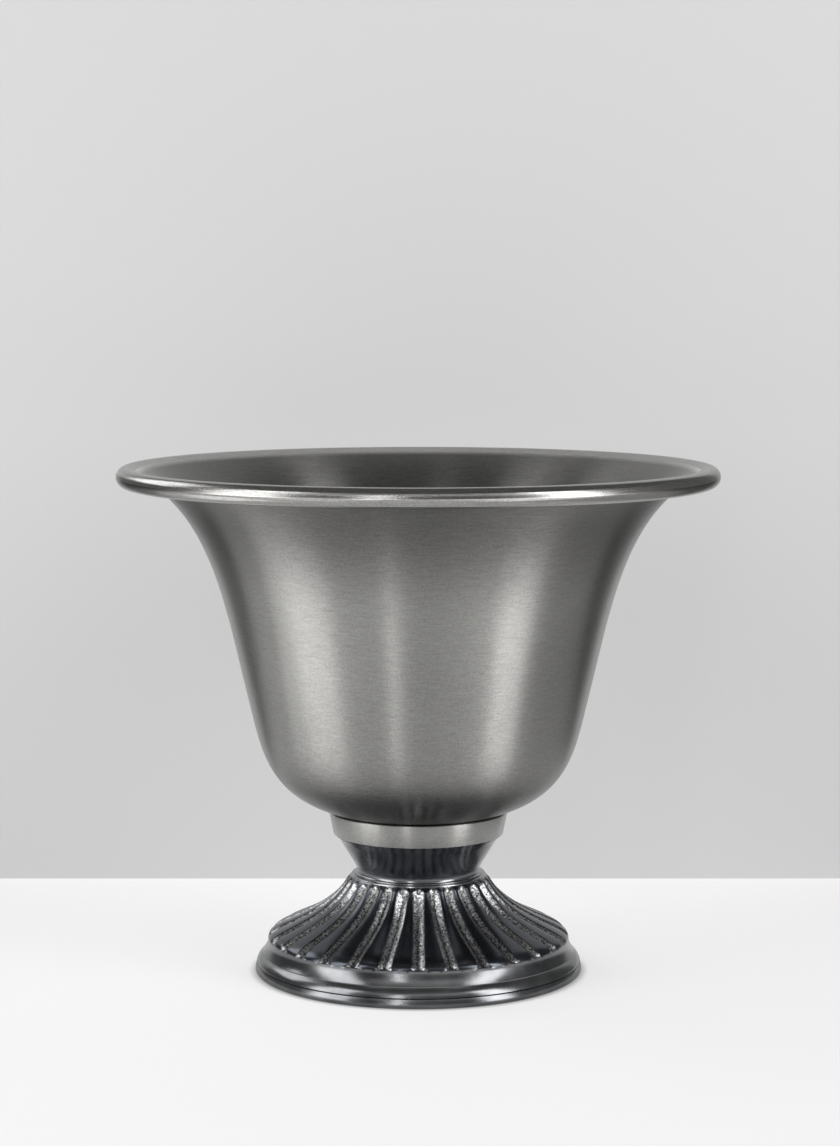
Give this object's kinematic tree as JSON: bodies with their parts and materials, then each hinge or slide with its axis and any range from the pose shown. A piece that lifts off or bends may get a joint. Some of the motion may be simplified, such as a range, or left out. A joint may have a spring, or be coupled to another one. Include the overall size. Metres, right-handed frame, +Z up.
{
  "type": "footed urn",
  "caption": "Footed metal urn: bell-shaped spun bowl with a rolled rim on a turned collar and waisted neck, bolted to a flared cast foot with round-topped flutes.",
  "frame": {"origin": "centre of the foot's underside, on the surface it stands on", "axes": "+Z up along the common axis of every piece; -Y is the pictured front"},
  "size_m": [0.254, 0.254, 0.2164],
  "materials": {
    "brushed_pewter": "satin brushed pewter tone on spun sheet, fine round grain",
    "dark_pewter": "dark glossy gunmetal tone, buffed lands and turned bands, rough cast flutes",
    "fastener_steel": "zinc plated",
    "seal_rubber": "matte black"
  },
  "bodies": {
    "root": {"bowl": "brushed_pewter", "collar": "brushed_pewter", "neck": "dark_pewter", "foot": "dark_pewter", "tie_bolt": "fastener_steel", "head_washer": "fastener_steel", "seal_washer": "seal_rubber", "hub_washer": "fastener_steel", "lock_washer": "fastener_steel", "nut": "fastener_steel"}
  },
  "joints": []
}
